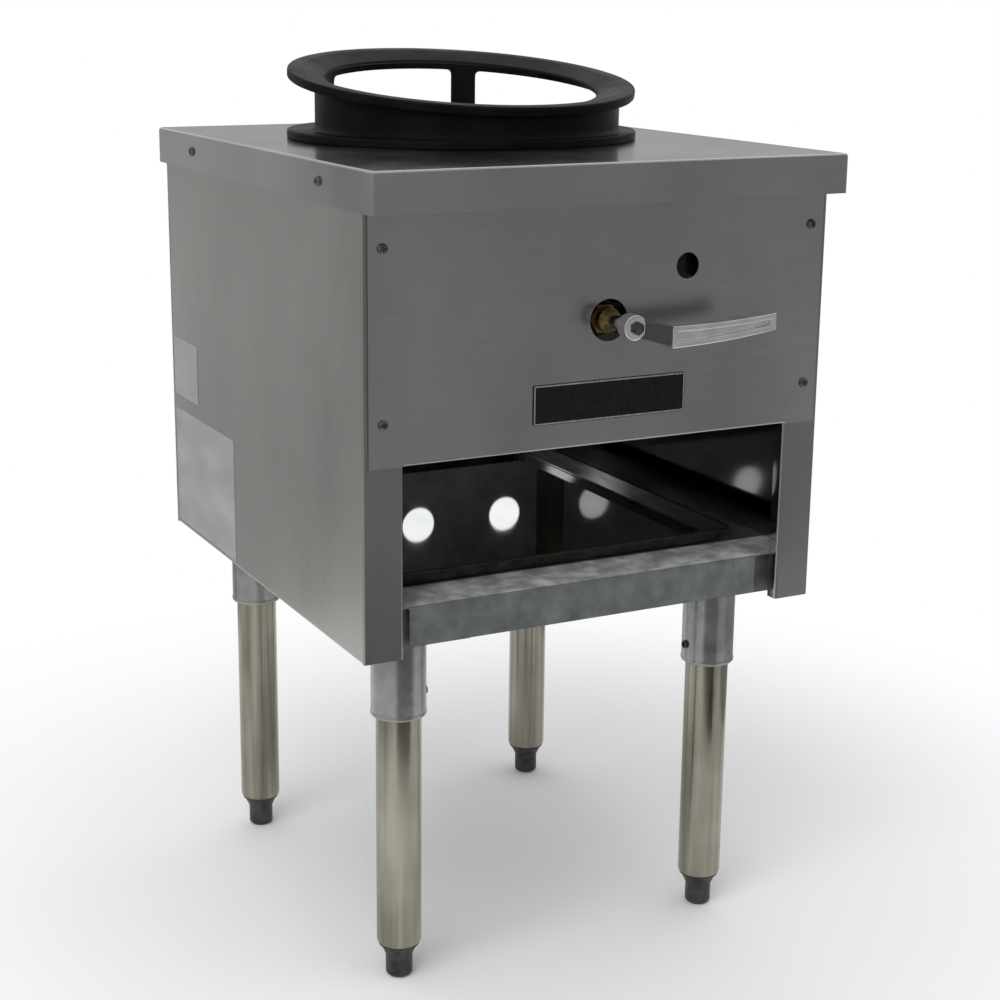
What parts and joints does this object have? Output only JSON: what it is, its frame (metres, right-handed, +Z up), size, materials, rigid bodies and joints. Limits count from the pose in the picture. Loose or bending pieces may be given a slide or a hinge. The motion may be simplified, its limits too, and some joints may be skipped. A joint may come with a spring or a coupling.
{
  "type": "wok burner",
  "caption": "Free-standing gas wok burner: stainless cabinet on round legs, loose slanted cast-iron wok ring, lined burner chamber, lever gas valve and an open shelf with a drip tray.",
  "frame": {"origin": "on the floor under the middle of the whole range", "axes": "+Z up, +X to the right seen from the front, the front with the lever faces -Y"},
  "size_m": [0.4652, 0.6, 0.8301],
  "materials": {
    "stainless": "fine brushed stainless sheet",
    "galvanised": "galvanised sheet with a soft spangle",
    "tray_steel": "bright polished sheet",
    "leg_plating": "bright plated tube, slightly warm",
    "dark_steel": "satin dark steel",
    "black_iron": "sand-cast, black enamel paint",
    "burner_iron": "raw sand-cast iron",
    "refractory": "matte fired clay",
    "brass": "machined, slightly dull",
    "chrome": "polished",
    "pipe_iron": "black iron pipe",
    "fitting_iron": "malleable iron fitting",
    "pilot_aluminium": "drawn tube",
    "screw_steel": "zinc plated",
    "plate_black": "gloss black with a thin pale border",
    "sticker_paper": "blank silvery sticker"
  },
  "bodies": {
    "cabinet": {"top_plate": "stainless", "left_side_panel": "stainless", "right_side_panel": "stainless", "front_panel": "stainless", "back_panel": "galvanised", "base_shelf": "galvanised", "left_base_channel": "galvanised", "right_base_channel": "galvanised", "front_left_socket": "galvanised", "front_right_socket": "galvanised", "rear_left_socket": "galvanised", "rear_right_socket": "galvanised", "front_left_leg": "leg_plating", "front_right_leg": "leg_plating", "rear_left_leg": "leg_plating", "rear_right_leg": "leg_plating", "leg_plugs": "dark_steel", "socket_set_screws": "screw_steel", "combustion_chamber": "dark_steel", "chamber_nuts": "screw_steel", "chamber_liner": "refractory", "burner_head": "burner_iron", "burner_tips": "brass", "burner_cross_bar": "dark_steel", "valve_body": "brass", "valve_bonnet": "brass", "supply_nipple": "pipe_iron", "supply_elbow": "fitting_iron", "burner_pipe": "pipe_iron", "manifold_pipe": "pipe_iron", "manifold_elbow": "fitting_iron", "inlet_drop_pipe": "pipe_iron", "inlet_elbow": "fitting_iron", "inlet_pipe": "pipe_iron", "inlet_locknut": "fitting_iron", "pipe_clips": "galvanised", "pilot_valve": "brass", "pilot_tube": "pilot_aluminium", "pilot_burner": "brass", "name_plate": "plate_black", "side_stickers": "sticker_paper", "front_panel_screws": "screw_steel", "top_plate_screws": "screw_steel", "back_panel_screws": "screw_steel"},
    "lever": {"valve_stem": "chrome", "lever": "chrome", "lever_screw": "dark_steel"},
    "wok_ring": {"wok_ring": "black_iron"},
    "drip_tray": {"drip_tray": "tray_steel"},
    "front_left_foot": {"front_left_foot": "dark_steel"},
    "front_right_foot": {"front_right_foot": "dark_steel"},
    "rear_left_foot": {"rear_left_foot": "dark_steel"},
    "rear_right_foot": {"rear_right_foot": "dark_steel"},
    "pilot_screw": {"pilot_screw": "brass"}
  },
  "joints": [
    {"name": "lever_turn", "type": "hinge", "parent": "cabinet", "child": "lever", "pos_m": [0.002, -0.195, 0.6135], "axis": [0, 1, 0], "range_deg": [0, 90]},
    {"name": "ring_lift", "type": "slide", "parent": "cabinet", "child": "wok_ring", "axis": [0, 0, 1], "range_m": [0, 0.15]},
    {"name": "tray_slide", "type": "slide", "parent": "cabinet", "child": "drip_tray", "axis": [0, -1, 0], "range_m": [0, 0.4]},
    {"name": "front_left_foot_screw", "type": "slide", "parent": "cabinet", "child": "front_left_foot", "axis": [0, 0, -1], "range_m": [0, 0.025]},
    {"name": "front_right_foot_screw", "type": "slide", "parent": "cabinet", "child": "front_right_foot", "axis": [0, 0, -1], "range_m": [0, 0.025]},
    {"name": "rear_left_foot_screw", "type": "slide", "parent": "cabinet", "child": "rear_left_foot", "axis": [0, 0, -1], "range_m": [0, 0.025]},
    {"name": "rear_right_foot_screw", "type": "slide", "parent": "cabinet", "child": "rear_right_foot", "axis": [0, 0, -1], "range_m": [0, 0.025]},
    {"name": "pilot_turn", "type": "hinge", "parent": "cabinet", "child": "pilot_screw", "pos_m": [0.0805, -0.195, 0.656], "axis": [0, 1, 0], "range_deg": [-180, 180]}
  ]
}
